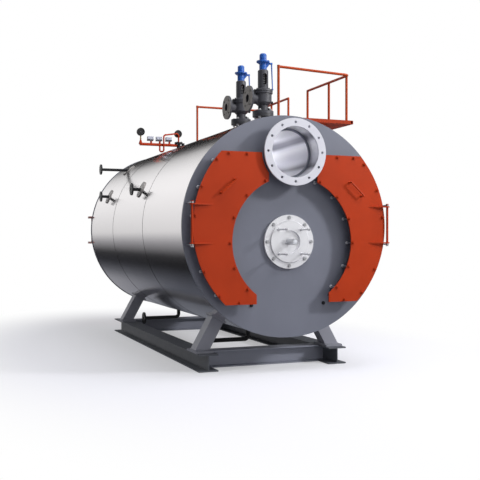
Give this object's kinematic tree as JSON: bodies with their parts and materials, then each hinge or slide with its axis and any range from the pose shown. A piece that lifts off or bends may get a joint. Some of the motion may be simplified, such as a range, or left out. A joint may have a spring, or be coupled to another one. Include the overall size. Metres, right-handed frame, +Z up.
{
  "type": "fire-tube steam boiler",
  "caption": "Horizontal fire-tube steam boiler on a steel skid, with hinged smokebox doors, a flanged flue outlet, safety valves and a railed walkway on top.",
  "frame": {"origin": "on the floor under the shell's axis, halfway along the overall length", "axes": "+X to the right of someone facing the burner end, +Y along the shell from the burner end to the rear, +Z up"},
  "size_m": [2.24, 4.851, 3.3],
  "materials": {
    "base_paint": "satin dark grey paint",
    "leg_paint": "satin grey paint",
    "stainless": "rolled stainless sheet, nearly mirror-like",
    "plate_paint": "satin grey paint",
    "orange_paint": "satin red-orange paint",
    "pale_paint": "satin pale grey paint",
    "bright_steel": "zinc-plated",
    "lining_board": "insulating board, matt",
    "black_paint": "satin black paint",
    "cast_iron": "painted casting",
    "blue_paint": "gloss blue paint",
    "switch_case": "moulded case",
    "gauge_black": "black case"
  },
  "bodies": {
    "boiler": {"skid_left": "base_paint", "skid_right": "base_paint", "cross_beam_front": "base_paint", "cross_beam_rear": "base_paint", "support_legs": "leg_paint", "cladding_front": "stainless", "cladding_middle": "stainless", "cladding_rear": "stainless", "front_plate": "plate_paint", "rear_plate": "plate_paint", "rear_door_frame": "plate_paint", "rear_doors": "orange_paint", "rear_hinges": "orange_paint", "flue_flange": "pale_paint", "flue_stub": "plate_paint", "flue_duct": "stainless", "burner_plate": "pale_paint", "burner_studs": "bright_steel", "sight_tube": "bright_steel", "door_frame_left": "plate_paint", "door_frame_right": "plate_paint", "hinge_eyes": "bright_steel", "clamp_studs": "bright_steel", "drain_plugs": "black_paint", "valve_nozzles": "black_paint", "front_valve_body": "cast_iron", "rear_valve_body": "cast_iron", "front_valve_cap": "blue_paint", "rear_valve_cap": "blue_paint", "deck": "orange_paint", "deck_brackets": "orange_paint", "front_railing": "orange_paint", "rear_railing": "orange_paint", "instrument_header": "orange_paint", "siphon_tube": "orange_paint", "instrument_valve": "black_paint", "pressure_switches": "switch_case", "pressure_gauges": "gauge_black", "side_nozzles": "black_paint", "nozzle_rosettes": "stainless", "blowdown_pipes": "black_paint"},
    "left_door": {"door_left": "orange_paint", "door_lining_left": "lining_board", "hinge_pin_left": "bright_steel"},
    "right_door": {"door_right": "orange_paint", "door_lining_right": "lining_board", "hinge_pin_right": "bright_steel"},
    "front_lever": {"front_valve_lever": "blue_paint"},
    "rear_lever": {"rear_valve_lever": "blue_paint"}
  },
  "joints": [
    {"name": "left_door_hinge", "type": "hinge", "parent": "boiler", "child": "left_door", "pos_m": [-1.047, -2.3305, 1.45], "axis": [0, 0, -1], "range_deg": [0, 100]},
    {"name": "right_door_hinge", "type": "hinge", "parent": "boiler", "child": "right_door", "pos_m": [1.047, -2.3305, 1.45], "axis": [0, 0, 1], "range_deg": [0, 100]},
    {"name": "front_lever_pivot", "type": "hinge", "parent": "boiler", "child": "front_lever", "pos_m": [0.08, -1.5515, 3.197], "axis": [0, -1, 0], "range_deg": [0, 25]},
    {"name": "rear_lever_pivot", "type": "hinge", "parent": "boiler", "child": "rear_lever", "pos_m": [0.08, -0.9145, 3.197], "axis": [0, -1, 0], "range_deg": [0, 25]}
  ]
}
